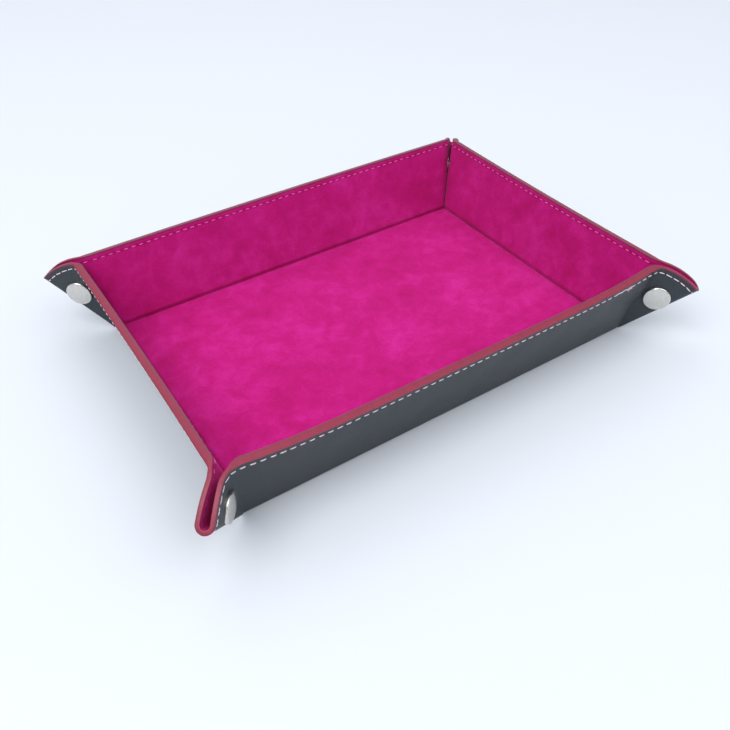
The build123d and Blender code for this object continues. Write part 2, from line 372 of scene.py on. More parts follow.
def make_mesh(name, points, faces, sheet, material, sharpness=PANEL_SHARPNESS):
    """An object that also keeps each point's place on the flat sheet."""
    mesh = bpy.data.meshes.new(name)
    mesh.from_pydata([tuple(p) for p in points], [], faces)
    mesh.validate()
    layer = mesh.attributes.new("sheet", "FLOAT_VECTOR", "POINT")
    layer.data.foreach_set("vector", np.array(sheet, np.float32).ravel())
    mesh.polygons.foreach_set("use_smooth", [True] * len(mesh.polygons))
    mesh.set_sharp_from_angle(angle=radians(sharpness))
    mesh.materials.append(materials[material])
    obj = bpy.data.objects.new(name, mesh)
    bpy.context.scene.collection.objects.link(obj)
    mesh.update()
    return obj


def slab(name, x, y, low, high, on_long, material, flip):
    """A closed plate of the sheet over a grid of sheet points, between two heights."""
    rows, cols = x.shape
    bottom = fold_side(x, y, low, on_long).reshape(-1, 3)
    top = fold_side(x, y, high, on_long).reshape(-1, 3)
    count = rows * cols
    index = np.arange(count).reshape(rows, cols)
    a, b, c, d = index[:-1, :-1], index[:-1, 1:], index[1:, 1:], index[1:, :-1]
    quads = np.stack([a, b, c, d], axis=-1).reshape(-1, 4)
    faces = [tuple(q + count) for q in quads] + [tuple(q[::-1]) for q in quads]
    loop = np.concatenate([index[0, :], index[1:, -1], index[-1, -2::-1], index[-2:0:-1, 0]])
    for i, j in zip(loop, np.roll(loop, -1)):
        faces.append((i, j, j + count, i + count))
    if flip:
        faces = [face[::-1] for face in faces]
    sheet = np.concatenate(
        [
            np.stack([x, y, low], axis=-1).reshape(-1, 3),
            np.stack([x, y, high], axis=-1).reshape(-1, 3),
        ]
    )
    faces = [tuple(int(i) for i in face) for face in faces]
    return make_mesh(name, np.concatenate([bottom, top]), faces, sheet, material)


def ruled(starts, ends, rows):
    """A grid of sheet points from start points to end points, one column for each pair."""
    even = np.linspace(0, 1, rows)
    crowded = (1 - np.cos(pi * even)) / 2
    t = (crowded * ROW_CROWDING + even * (1 - ROW_CROWDING))[:, None]
    starts = np.array(starts)
    ends = np.array(ends)
    u = starts[None, :, 0] * (1 - t) + ends[None, :, 0] * t
    v = starts[None, :, 1] * (1 - t) + ends[None, :, 1] * t
    return u, v


def wall_end_rulings(first, last, count):
    """Rulings of the wall beside its crease, by distance from the crease."""
    starts, ends = [], []
    for gap in np.linspace(first, last, count):
        share = gap / SEAM_AT_CREASE
        starts.append((SEAM_POINT[0] * share, SEAM_POINT[1] * share))
        ends.append(rim_hit((-gap / cos(CREASE_ANGLE), 0), CREASE_RAY))
    return starts, ends


def ear_rulings(first, last, count):
    """Rulings of the ear, rays from the corner between two angles."""
    starts, ends = [], []
    for angle in np.linspace(first, last, count):
        ray = (sin(angle), cos(angle))
        starts.append((ray[0] * EAR_START, ray[1] * EAR_START))
        ends.append(rim_hit((0, 0), ray))
    return starts, ends


# The sides and corners of the sheet, with the signs of their x and y
LONG_SIDES = (("front", -1), ("back", 1))
SHORT_SIDES = (("left", -1), ("right", 1))
CORNERS = (
    ("front_left", -1, -1),
    ("front_right", 1, -1),
    ("back_left", -1, 1),
    ("back_right", 1, 1),
)


# --- how pieces move ---

BLEND_REACH = 0.8 * WALL_HEIGHT  # from the corner to where a fold's direction is taken
BLEND_STEP = 9 * MM  # and how far beside the fold its panels' directions are taken
CREASE_BLEND_SHARE = 0.75  # of a crease's rounding over which its pieces turn


def across(before, after):
    """The direction across a fold, halfway between those of the panels before and after it."""
    return (before + after).normalized()


def corner_point(sx, sy, past, out, on_long):
    """A folded point beside a corner, by its distances past the base fold's end and out from it."""
    u, v = (past, out) if on_long else (out, past)
    x, y = np.array([sx * (HALF_LENGTH + u)]), np.array([sy * (HALF_WIDTH + v)])
    return Vector(fold_side(x, y, np.zeros(1), on_long)[0])


def motion_wall_root(side, sign, is_long):
    """The two bodies of a wall's fold, and the line along which a piece turns between them."""
    outward = Vector((0, sign, 0)) if is_long else Vector((sign, 0, 0))
    fold = outward * (HALF_WIDTH if is_long else HALF_LENGTH) + Vector((0, 0, FOLD_LEVEL))
    upward = outward * cos(WALL_TURN) + Vector((0, 0, sin(WALL_TURN)))
    middle = across(outward, upward)
    reach = BASE_BEND * cos(WALL_TURN / 2)
    return ("base", f"{side}_wall", fold - middle * reach, fold + middle * reach)


def motion_corner(corner, sx, sy, part):
    """The two bodies of a corner's fold, and the line along which a piece turns between them."""
    place = Vector((sx * HALF_LENGTH, sy * HALF_WIDTH, FOLD_LEVEL))
    angle, half_turn, bend = END_ANGLE, END_TURN / 2, END_BEND
    if part == "long_ear":
        angle, half_turn = CREASE_ANGLE, CREASE_TURN / 2
        bend = CREASE_BLEND_SHARE * CREASE_BENDS["long"][corner]
        bodies = (f"{'front' if sy < 0 else 'back'}_wall", f"{corner}_long_ear")
    elif part == "fold_long":
        bodies = (f"{corner}_long_ear", f"{corner}_fold")
    else:
        bodies = (f"{corner}_fold", f"{corner}_short_ear")
    ray = Vector((sin(angle), cos(angle)))
    side = Vector((cos(angle), -sin(angle)))
    on_long = part != "fold_short"
    on_fold = corner_point(sx, sy, *(ray * BLEND_REACH), on_long)
    before = corner_point(sx, sy, *(ray * BLEND_REACH - side * BLEND_STEP), on_long)
    past_fold = ray * BLEND_REACH + side * BLEND_STEP
    if part != "long_ear":
        past_fold = Vector((sin(pi / 4), cos(pi / 4))) * BLEND_REACH
    after = corner_point(sx, sy, *past_fold, on_long)
    line = (on_fold - place).normalized()
    tangent_before = ((on_fold - before) - line * (on_fold - before).dot(line)).normalized()
    tangent_after = ((after - on_fold) - line * (after - on_fold).dot(line)).normalized()
    middle = across(tangent_before, tangent_after) * bend * cos(half_turn)
    if part == "fold_short":
        middle = -middle
    return (*bodies, place - middle, place + middle)


def place_piece(obj, motion):
    if isinstance(motion, str):
        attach(obj, motion)
    else:
        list(motion)
        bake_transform(obj)


# --- regions of the sheet ---

FLAT_SIZE_TURNS = 31  # directions in which a piece is measured for its smallest rectangle
GRID_STEP = 2.2 * MM
ROOT_ROWS = 19
WALL_ROWS = 24
WALL_END_COLUMNS = 11
EAR_ROWS = 30
SEAM_COLUMNS = 13
EAR_COLUMNS = 11
END_COLUMNS = 19


def base_region():
    reach_x = HALF_LENGTH - SEAM_AT_BASE
    reach_y = HALF_WIDTH - SEAM_AT_BASE
    y, x = np.meshgrid(
        np.linspace(-reach_y, reach_y, ceil(2 * reach_y / GRID_STEP)),
        np.linspace(-reach_x, reach_x, ceil(2 * reach_x / GRID_STEP)),
        indexing="ij",
    )
    return ("base", x, y, True, "base", False)


def root_grid(half_along, share):
    """The band along a wall's fold, as distances along it and out from it."""
    out = np.linspace(-SEAM_AT_BASE, SEAM_AT_BASE, ROOT_ROWS)
    end = np.where(out < 0, half_along + out, half_along + SEAM_POINT[0] * out / SEAM_POINT[1])
    return share[None, :] * end[:, None], np.repeat(out[:, None], len(share), axis=1)


def wall_grid(half_along, share, to_crease):
    """A wall above that band, up to the seams beside its creases or to the creases."""
    bottom = half_along + SEAM_POINT[0]
    top = half_along + rim_hit((-SEAM_AT_CREASE / cos(CREASE_ANGLE), 0), CREASE_RAY)[0]
    starts = [(s * bottom, SEAM_AT_BASE) for s in share]
    ends = [(s * top, WALL_HEIGHT) for s in share]
    if to_crease:
        more_starts, more_ends = wall_end_rulings(SEAM_AT_CREASE, 0.0, WALL_END_COLUMNS)
        right_starts = [(half_along + u, v) for u, v in more_starts[1:]]
        right_ends = [(half_along + u, v) for u, v in more_ends[1:]]
        starts = [(-u, v) for u, v in right_starts[::-1]] + starts + right_starts
        ends = [(-u, v) for u, v in right_ends[::-1]] + ends + right_ends
    return ruled(starts, ends, WALL_ROWS)


def side_regions(sides, is_long):
    half_along, half_out = (HALF_LENGTH, HALF_WIDTH) if is_long else (HALF_WIDTH, HALF_LENGTH)
    share = np.linspace(-1, 1, ceil(2 * half_along / GRID_STEP))
    grids = {"root": root_grid(half_along, share), "wall": wall_grid(half_along, share, not is_long)}
    for side, sign in sides:
        motions = {"root": motion_wall_root(side, sign, is_long), "wall": f"{side}_wall"}
        for part, (along, outward) in grids.items():
            place = sign * (half_out + outward)
            grid = (along, place) if is_long else (place, along)
            yield (f"{side}_{part}", *grid, is_long, motions[part], (sign < 0) == is_long)


def corner_regions():
    seam_starts, seam_ends = wall_end_rulings(SEAM_AT_CREASE, 0.0, SEAM_COLUMNS)
    crease_starts, crease_ends = ear_rulings(CREASE_ANGLE, EAR_MIDDLE, EAR_COLUMNS)
    end_starts, end_ends = ear_rulings(EAR_MIDDLE, pi / 4, END_COLUMNS)
    diagonal = sin(pi / 4)
    lap = (END_LAP * diagonal, -END_LAP * diagonal)
    lap_start = (end_starts[-1][0] + lap[0], end_starts[-1][1] + lap[1])
    lap_end = rim_hit(lap, (diagonal, diagonal))
    parts = {
        "long_ear": (seam_starts[:-1] + crease_starts, seam_ends[:-1] + crease_ends, True),
        "fold_long": (end_starts + [lap_start], end_ends + [lap_end], True),
        "fold_short": (end_starts, end_ends, False),
        "short_ear": (crease_starts, crease_ends, False),
    }
    for corner, sx, sy in CORNERS:
        for part, (starts, ends, on_long) in parts.items():
            past, out = ruled(starts, ends, EAR_ROWS)
            u, v = (past, out) if on_long else (out, past)
            motion = f"{corner}_short_ear"
            if part != "short_ear":
                motion = motion_corner(corner, sx, sy, part)
            grid = (sx * (HALF_LENGTH + u), sy * (HALF_WIDTH + v))
            yield (f"{corner}_{part}", *grid, on_long, motion, (sx * sy < 0) == on_long)


def regions():
    """Every panel of the sheet: name, x and y of its grid of sheet points, whether it belongs to a
    long side, motion, and whether its faces are turned over."""
    sides = [*side_regions(LONG_SIDES, True), *side_regions(SHORT_SIDES, False)]
    return [base_region(), *sides, *corner_regions()]


def flat_size(x, y):
    """The flat width, length and area of a grid of sheet points."""
    sizes = []
    for turn in np.linspace(0, pi / 2, FLAT_SIZE_TURNS):
        width = float(np.ptp(x * cos(turn) + y * sin(turn)))
        length = float(np.ptp(y * cos(turn) - x * sin(turn)))
        sizes.append((width, length))
    width, length = min(sizes, key=lambda size: size[0] * size[1])
    a = (x[:-1, :-1], y[:-1, :-1])
    b = (x[:-1, 1:], y[:-1, 1:])
    c = (x[1:, 1:], y[1:, 1:])
    d = (x[1:, :-1], y[1:, :-1])
    doubled = (c[0] - a[0]) * (d[1] - b[1]) - (c[1] - a[1]) * (d[0] - b[0])
    return width, length, float(abs(doubled.sum()) / 2)


# --- materials ---

def colour(red, green, blue):
    """A colour as seen on a screen, 0 to 255, as Blender's linear one."""
    def linear(value):
        value /= 255
        return value / 12.92 if value <= 0.04045 else ((value + 0.055) / 1.055) ** 2.4

    return (linear(red), linear(green), linear(blue), 1.0)


class Shader:
    """A material with one Principled shader and short ways to add to it."""

    def __init__(self, name, **sockets):
        self.material = bpy.data.materials.new(name)
        self.material.use_nodes = True
        self.nodes = self.material.node_tree.nodes
        self.links = self.material.node_tree.links
        self.shader = self.nodes["Principled BSDF"]
        for socket, value in sockets.items():
            self.shader.inputs[socket.replace("_", " ")].default_value = value
        materials[name] = self.material

    def add(self, kind, **settings):
        node = self.nodes.new("ShaderNode" + kind)
        for key, value in settings.items():
            if hasattr(node, key):
                setattr(node, key, value)
            else:
                node.inputs[key.replace("_", " ")].default_value = value
        return node

    def link(self, output, target):
        self.links.new(output, target)

    def put(self, value, target):
        """Links a node's output to a socket, or sets the socket to a constant."""
        if hasattr(value, "is_linked"):
            self.link(value, target)
        else:
            target.default_value = value

    def sheet_place(self, scale=(1000, 1000, 1000)):
        """The place on the flat sheet, in millimetres times the scale given."""
        source = self.add("Attribute", attribute_name="sheet")
        mapping = self.add("Mapping")
        mapping.inputs["Scale"].default_value = scale
        self.link(source.outputs["Vector"], mapping.inputs["Vector"])
        return mapping.outputs["Vector"]

    def own_place(self):
        """The place on the piece's own CAD mesh, in millimetres."""
        source = self.add("TexCoord")
        mapping = self.add("Mapping")
        mapping.inputs["Scale"].default_value = (1000, 1000, 1000)
        self.link(source.outputs["Object"], mapping.inputs["Vector"])
        return mapping.outputs["Vector"]

    def noise(self, place, scale, detail=3.0, roughness=0.55, distortion=0.0):
        node = self.add("TexNoise", Scale=scale, Detail=detail, Roughness=roughness)
        node.inputs["Distortion"].default_value = distortion
        self.link(place, node.inputs["Vector"])
        return node.outputs["Fac"]

    def ramp(self, fac, *stops):
        node = self.add("ValToRGB")
        elements = node.color_ramp.elements
        while len(elements) < len(stops):
            elements.new(0.5)
        for element, (position, value) in zip(elements, stops):
            element.position = position
            element.color = value if hasattr(value, "__len__") else (value, value, value, 1)
        self.link(fac, node.inputs["Fac"])
        return node.outputs["Color"]

    def darken(self, fac, colours, shade):
        """Colours multiplied by a shade."""
        node = self.add("Mix", data_type="RGBA", blend_type="MULTIPLY")
        for value, index in ((fac, 0), (colours, 6), (shade, 7)):
            self.put(value, node.inputs[index])
        return node.outputs[2]

    def maths(self, operation, *values):
        node = self.add("Math", operation=operation)
        for index, value in enumerate(values):
            self.put(value, node.inputs[index])
        return node.outputs[0]

    def bump(self, height, distance, strength, under=None):
        node = self.add("Bump", Strength=strength, Distance=distance)
        self.link(height, node.inputs["Height"])
        if under is not None:
            self.link(under, node.inputs["Normal"])
        return node.outputs["Normal"]

    def stitch_groove(self, half_width, soft):
        """1 on the line the stitches follow, 0 away from it; widths in millimetres."""
        ramp_span = 10
        parts = self.add("SeparateXYZ")
        self.link(self.sheet_place(), parts.inputs[0])
        past = self.add("CombineXYZ")
        for axis, half in (("X", HALF_LENGTH), ("Y", HALF_WIDTH)):
            straight = (half + RIM_CENTRE) / MM
            beyond = self.maths("SUBTRACT", self.maths("ABSOLUTE", parts.outputs[axis]), straight)
            self.link(self.maths("MAXIMUM", beyond, 0.0), past.inputs[axis])
        reach = self.add("VectorMath", operation="LENGTH")
        self.link(past.outputs[0], reach.inputs[0])
        off = self.maths("SUBTRACT", reach.outputs["Value"], (CORNER_RADIUS - STITCH_INSET) / MM)
        off = self.maths("ABSOLUTE", off)
        share = self.maths("MULTIPLY", off, 1 / ramp_span)
        return self.ramp(share, (half_width / ramp_span, 1.0), (soft / ramp_span, 0.0))

    def base(self, value):
        self.link(value, self.shader.inputs["Base Color"])

    def rough(self, value):
        self.link(value, self.shader.inputs["Roughness"])

    def normal(self, value):
        self.link(value, self.shader.inputs["Normal"])


def make_velvet():
    velvet = Shader("velvet", Roughness=0.9)
    velvet.shader.inputs["Specular IOR Level"].default_value = 0.12
    velvet.shader.inputs["Sheen Weight"].default_value = 0.25
    velvet.shader.inputs["Sheen Roughness"].default_value = 0.4
    velvet.shader.inputs["Sheen Tint"].default_value = colour(245, 150, 215)
    place = velvet.sheet_place()
    brushed = velvet.noise(velvet.sheet_place((1000, 1350, 1000)), 0.03, 4.0, 0.5, 0.5)
    patches = velvet.noise(place, 0.15, 3.0, 0.55, 0.4)
    fibres = velvet.noise(place, 2.6, 2.0, 0.7)
    tufts = velvet.noise(place, 0.8, 3.0, 0.7)
    nap = velvet.maths("MULTIPLY_ADD", patches, 0.5, velvet.maths("MULTIPLY", brushed, 0.5))
    tone = velvet.ramp(
        nap,
        (0.34, colour(177, 16, 106)),
        (0.50, colour(189, 22, 121)),
        (0.66, colour(201, 35, 139)),
    )
    speckle = velvet.ramp(fibres, (0.3, 0.74), (0.7, 1.0))
    grain = velvet.ramp(tufts, (0.3, 0.84), (0.65, 1.0))
    # Darker along the stitch line: the pile is pressed down there, and painted shade is added in the groove that
    # the bump dents in
    pressed_groove_shade = velvet.ramp(velvet.stitch_groove(0.35, 0.9), (0.0, 1.0), (1.0, 0.72))
    tone = velvet.darken(0.8, tone, speckle)
    tone = velvet.darken(0.8, tone, grain)
    velvet.base(velvet.darken(1.0, tone, pressed_groove_shade))
    pile = velvet.bump(fibres, 0.16 * MM, 0.55)
    pile = velvet.bump(tufts, 0.25 * MM, 0.5, pile)
    velvet.normal(velvet.bump(pressed_groove_shade, 0.5 * MM, 0.6, pile))


def make_leather():
    leather = Shader("leather", Roughness=0.5)
    leather.shader.inputs["Specular IOR Level"].default_value = 0.5
    place = leather.sheet_place()
    cells = leather.add("TexVoronoi", feature="DISTANCE_TO_EDGE", Scale=1.05)
    wander = leather.noise(place, 0.6, 2.0)
    moved = leather.add("VectorMath", operation="ADD")
    leather.link(place, moved.inputs[0])
    leather.link(wander, moved.inputs[1])
    leather.link(moved.outputs[0], cells.inputs["Vector"])
    pebbles = leather.ramp(cells.outputs["Distance"], (0.0, 0.0), (0.22, 1.0))
    fine = leather.noise(place, 3.4, 3.0)
    cloud = leather.noise(place, 0.05, 3.0)
    tone = leather.ramp(cloud, (0.3, colour(33, 40, 48)), (0.7, colour(45, 53, 61)))
    valley = leather.darken(0.3, tone, pebbles)
    # Darker along the stitch line: the leather is pressed there, and painted shade is added in the groove that the
    # bump dents in
    pressed_groove_shade = leather.ramp(leather.stitch_groove(0.2, 0.55), (0.0, 1.0), (1.0, 0.55))
    leather.base(leather.darken(1.0, valley, pressed_groove_shade))
    leather.rough(leather.ramp(cloud, (0.3, 0.42), (0.7, 0.54)))
    grain = leather.bump(pebbles, 0.09 * MM, 0.7)
    grain = leather.bump(fine, 0.05 * MM, 0.5, grain)
    leather.normal(leather.bump(pressed_groove_shade, 0.35 * MM, 0.7, grain))


def make_edge():
    edge = Shader("edge_paint", Roughness=0.45)
    edge.shader.inputs["Specular IOR Level"].default_value = 0.5
    place = edge.sheet_place()
    height = edge.add("SeparateXYZ")
    edge.link(place, height.inputs[0])
    wander = edge.noise(place, 0.5, 2.0)
    level = edge.maths("MULTIPLY_ADD", wander, 0.5, height.outputs["Z"])
    band = edge.maths("MULTIPLY_ADD", level, 0.25, 0.25)
    tone = edge.ramp(
        band,
        (0.10, colour(76, 40, 54)),
        (0.22, colour(130, 26, 56)),
        (0.55, colour(136, 28, 58)),
        (0.80, colour(128, 30, 58)),
        (0.95, colour(106, 48, 66)),
    )
    patches = edge.noise(place, 0.35, 3.0)
    edge.base(edge.darken(0.4, tone, edge.ramp(patches, (0.3, 0.6), (0.7, 1.0))))
    edge.normal(edge.bump(patches, 0.2 * MM, 0.5))


def make_thread(name, dark, light):
    thread = Shader(name, Roughness=0.6)
    thread.shader.inputs["Sheen Weight"].default_value = 0.3
    strands = thread.add("TexWave", wave_type="BANDS", bands_direction="DIAGONAL", Scale=1.4)
    thread.link(thread.sheet_place(), strands.inputs["Vector"])
    strands.inputs["Distortion"].default_value = 0.6
    thread.base(thread.ramp(strands.outputs["Fac"], (0.2, dark), (0.8, light)))
    thread.normal(thread.bump(strands.outputs["Fac"], 0.08 * MM, 0.6))


def make_card():
    card = Shader("card", Roughness=0.9)
    place = card.sheet_place()
    pulp = card.noise(place, 1.2, 4.0)
    card.base(card.ramp(pulp, (0.3, colour(120, 112, 100)), (0.7, colour(150, 141, 128))))
    card.normal(card.bump(pulp, 0.05 * MM, 0.5))


def make_metal():
    metal = Shader("snap_metal", Metallic=1.0, Roughness=0.2)
    place = metal.own_place()
    scuffs = metal.noise(place, 0.9, 3.0, 0.5)
    metal.base(metal.ramp(scuffs, (0.3, colour(200, 197, 191)), (0.7, colour(216, 213, 207))))
    metal.rough(metal.ramp(scuffs, (0.35, 0.16), (0.7, 0.24)))


make_velvet()
make_leather()
make_edge()
make_thread("pink_thread", colour(206, 44, 128), colour(240, 96, 172))
# The same pink thread in darker colours, as painted shade, for the stitches sunk inside the ears
make_thread("sunk_thread", colour(160, 16, 92), colour(196, 34, 120))
make_thread("pale_thread", colour(200, 172, 190), colour(250, 232, 244))
make_card()
make_metal()


# --- pieces of the sheet ---

RIM_POINTS = 20  # round the painted edge's profile
RIM_PROUD = 0.28 * MM  # how far the paint stands out past the sheet's edge
RIM_DEPTH = 0.55 * MM  # and how far in it starts
RIM_SWELL = 0.14 * MM  # how far it stands above velvet and leather
RIM_SQUARENESS = 0.6  # 1 for an ellipse, less for a rounded rectangle
CARD_INSET = 0.8 * MM  # of a board from the rim
STITCH_PITCH = 3.79 * MM
STITCH_LENGTH = 2.6 * MM
STITCH_THICKNESS = 0.62 * MM
EAR_STITCH_LENGTH = 3.3 * MM
EAR_STITCH_THICKNESS = 0.5 * MM
SUNK_STITCH_THICKNESS = 0.4 * MM
STITCH_SUNK_IN_VELVET = 0.14 * MM
DOUBLED_FROM, DOUBLED_TO = 74 * MM, 86 * MM  # the seam's ends overlap here, from the wall's middle
FRAY_PLACE = 86 * MM
FRAY_FIBRES = 9
FRAY_REACH = 2.3 * MM
FRAY_THICKNESS = 0.3 * MM
ALL_REGIONS = regions()


def outward_normal(x, y):
    """The direction out of the sheet's edge, at points on the edge."""
    u = np.abs(x) - HALF_LENGTH
    v = np.abs(y) - HALF_WIDTH
    on_arc = (u > RIM_CENTRE) & (v > RIM_CENTRE)
    on_long = v > u
    nx = np.where(on_arc, u - RIM_CENTRE, np.where(on_long, 0.0, 1.0)) * np.sign(x)
    ny = np.where(on_arc, v - RIM_CENTRE, np.where(on_long, 1.0, 0.0)) * np.sign(y)
    length = np.hypot(nx, ny)
    return nx / length, ny / length


def orient(points, faces):
    """Faces turned over if they point inwards."""
    points = np.asarray(points)
    centre = points.mean(axis=0)
    volume = 0.0
    for face in faces:
        a = points[face[0]] - centre
        for i in range(1, len(face) - 1):
            volume += a @ np.cross(points[face[i]] - centre, points[face[i + 1]] - centre)
    return faces if volume > 0 else [face[::-1] for face in faces]


def tube(rings_x, rings_y, rings_w, on_long):
    """A closed tube through rings of sheet points, each ring a row: points, faces and sheet
    places."""
    rings, count = rings_x.shape
    points = fold_side(rings_x, rings_y, rings_w, on_long).reshape(-1, 3)
    sheet = np.stack([rings_x, rings_y, rings_w], axis=-1).reshape(-1, 3)
    faces = []
    for i in range(rings - 1):
        for j in range(count):
            k = (j + 1) % count
            faces.append((i * count + j, i * count + k, (i + 1) * count + k, (i + 1) * count + j))
    faces.append(tuple(range(count))[::-1])
    faces.append(tuple(range((rings - 1) * count, rings * count)))
    return points, orient(points, faces), sheet


def joined(parts):
    """Several tubes as one."""
    points, faces, sheet = [], [], []
    for part_points, part_faces, part_sheet in parts:
        start = len(points)
        points.extend(part_points)
        faces.extend(tuple(i + start for i in face) for face in part_faces)
        sheet.extend(part_sheet)
    return points, faces, sheet


def rim_strip(name, x, y, on_long):
    """The painted edge: leather, board and velvet closed off by one rounded bead."""
    nx, ny = outward_normal(x, y)
    top = velvet_top(x, y, on_long)
    low = leather_outer(x, y, on_long)
    middle = (top + low) / 2
    half = (top - low) / 2 + RIM_SWELL
    turn = np.linspace(0, 2 * pi, RIM_POINTS, endpoint=False)
    out = np.sign(np.cos(turn)) * np.abs(np.cos(turn)) ** RIM_SQUARENESS
    up = np.sign(np.sin(turn)) * np.abs(np.sin(turn)) ** RIM_SQUARENESS
    depth = np.where(out > 0, RIM_PROUD, RIM_DEPTH) * out
    rings_x = x[:, None] + nx[:, None] * depth[None, :]
    rings_y = y[:, None] + ny[:, None] * depth[None, :]
    rings_w = middle[:, None] + half[:, None] * up[None, :]
    return make_mesh(name, *tube(rings_x, rings_y, rings_w, on_long), "edge_paint", EDGE_SHARPNESS)


def cut(x, y):
    width, length, area = flat_size(x, y)


def card_grid(name):
    """The part of a panel that a board fills, as a grid of sheet points."""
    if name == "base":
        share_x = np.linspace(-1, 1, 40) * (HALF_LENGTH - BASE_ROOM)
        share_y = np.linspace(-1, 1, 28) * (HALF_WIDTH - BASE_ROOM)
        return np.meshgrid(share_x, share_y)
    side = name.split("_")[0]
    is_long = side in ("front", "back")
    sign = -1 if side in ("front", "left") else 1
    half_along, half_out = (HALF_LENGTH, HALF_WIDTH) if is_long else (HALF_WIDTH, HALF_LENGTH)
    out = np.linspace(BASE_ROOM, WALL_HEIGHT - CARD_INSET, 16)
    share, outward = np.meshgrid(np.linspace(-1, 1, 60), out)
    place = sign * (half_out + outward)
    widest = widest_crease(*((share, place) if is_long else (place, share)), is_long)
    mitre = MITRE_LOW + (widest + MITRE_SPARE - MITRE_LOW) * outward / WALL_HEIGHT
    end = half_along + outward * tan(CREASE_ANGLE) - mitre / cos(CREASE_ANGLE)
    along = share * end
    return (along, place) if is_long else (place, along)


def build_region(name, x, y, on_long, motion, flip):
    has_board = name == "base" or name.endswith("_wall")
    low, high = leather_outer(x, y, on_long), leather_inner(x, y, on_long)
    outer = slab(f"{name}_outer", x, y, low, high, on_long, "leather", flip)
    low, high = velvet_low(x, y, on_long), velvet_top(x, y, on_long)
    lining = slab(f"{name}_lining", x, y, low, high, on_long, "velvet", flip)
    place_piece(outer, motion)
    place_piece(lining, motion)
    if has_board:
        card_x, card_y = card_grid(name)
        floor = np.full_like(card_x, LEATHER_HALF)
        card = slab(f"{name}_card", card_x, card_y, floor, floor + BOARD, on_long, "card", flip)
        place_piece(card, motion)
        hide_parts(f"{name}_board")
    if has_board or name.endswith("_ear"):
        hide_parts(f"{name}_leather")
        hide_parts(f"{name}_velvet")
    elif name.endswith("fold_long"):
        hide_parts(f"{name.removesuffix('_long')}_leather")
    cut(x, y)
    cut(x, y)
    if name != "base" and not name.endswith("_root"):
        strip = rim_strip(f"{name}_edge", x[-1, :], y[-1, :], on_long)
        place_piece(strip, motion)


for region in ALL_REGIONS:
    build_region(*region)


# --- stitches ---

def stitch_line(distance):
    """Beside a corner, a point of the stitch line and its direction, measured from the side's
    middle: the long side first, then the arc, then the short side."""
    straight = HALF_LENGTH + RIM_CENTRE
    radius = CORNER_RADIUS - STITCH_INSET
    arc = radius * pi / 2
    if distance < straight:
        return (distance - HALF_LENGTH, WALL_HEIGHT - STITCH_INSET), (1.0, 0.0)
    if distance < straight + arc:
        turn = (distance - straight) / radius
        point = (RIM_CENTRE + radius * sin(turn), RIM_CENTRE + radius * cos(turn))
        return point, (cos(turn), -sin(turn))
    below = distance - straight - arc
    return (WALL_HEIGHT - STITCH_INSET, RIM_CENTRE - below), (0.0, -1.0)


def region_at(u, v):
    """The region beside a corner that a sheet point lies in, and whether on the long side."""
    on_long = v >= u
    past, out = (u, v) if on_long else (v, u)
    angle = atan2(past, out)
    gap = -crease_distance(past, out)
    if on_long:
        if gap > SEAM_AT_CREASE:
            return "long_wall", True
        return ("long_ear" if angle < EAR_MIDDLE else "fold_long"), True
    if gap > 0:
        return "short_wall", False
    return ("short_ear" if angle < EAR_MIDDLE else "fold_short"), False


ALONG_STITCH = np.array([-1.0, -0.86, -0.5, 0.0, 0.5, 0.86, 1.0])
STITCH_GIRTH = np.array([0.35, 0.8, 1.0, 1.0, 1.0, 0.8, 0.35])
STITCH_SINK = np.array([0.55, 0.22, 0.0, -0.03, 0.0, 0.22, 0.55])
STITCH_SINK_DEPTH = 1.6  # of the sinks above, in thread radii
AROUND = np.linspace(0, 2 * pi, 8, endpoint=False)
LARGEST_TILT = 0.05  # of a stitch off its line, in radians
# Least and most that a stitch's length and girth are of their usual size
STITCH_LENGTHS = (0.9, 1.06)
STITCH_GIRTHS = (0.92, 1.06)
SECOND_STITCH_ALONG = 0.4  # where the seams' ends overlap: how far on, in pitches
SECOND_STITCH_OUT = 0.5 * MM  # and how far out the second stitch lies

# Loose fibres: curl in radians, rise in millimetres, the rest as shares
LARGEST_CURL = 1.2
FRAY_LENGTHS = (0.5, 1.0)
FRAY_FLATNESS = 0.6
FRAY_RISES = (0.25, 0.9)
FRAY_TAPER = 0.6
FRAY_LIFT = 0.1 * MM


def stitch_mesh(sx, sy, centre, direction, on_long, face, length, thickness, random):
    """Points, faces and sheet places of one stitch."""
    u0, v0 = centre
    tilt = random.uniform(-LARGEST_TILT, LARGEST_TILT)
    du = direction[0] * cos(tilt) - direction[1] * sin(tilt)
    dv = direction[0] * sin(tilt) + direction[1] * cos(tilt)
    half_length = length / 2 * random.uniform(*STITCH_LENGTHS)
    radius = thickness / 2 * random.uniform(*STITCH_GIRTHS)
    u = u0 + du * ALONG_STITCH * half_length
    v = v0 + dv * ALONG_STITCH * half_length
    side = radius * STITCH_GIRTH[:, None] * np.cos(AROUND)[None, :]
    lift = radius * STITCH_GIRTH[:, None] * np.sin(AROUND)[None, :]
    ring_u = u[:, None] - dv * side
    ring_v = v[:, None] + du * side
    x = sx * (HALF_LENGTH + ring_u)
    y = sy * (HALF_WIDTH + ring_v)
    middle_x = np.array([sx * (HALF_LENGTH + u0)])
    middle_y = np.array([sy * (HALF_WIDTH + v0)])
    if face > 0:
        surface = float(velvet_top(middle_x, middle_y, on_long)[0])
    else:
        surface = float(leather_outer(middle_x, middle_y, on_long)[0])
    sunk = STITCH_SUNK_IN_VELVET if face > 0 else 0.0
    w = surface + face * (lift - sunk - STITCH_SINK[:, None] * radius * STITCH_SINK_DEPTH)
    return tube(x, y, w, on_long)


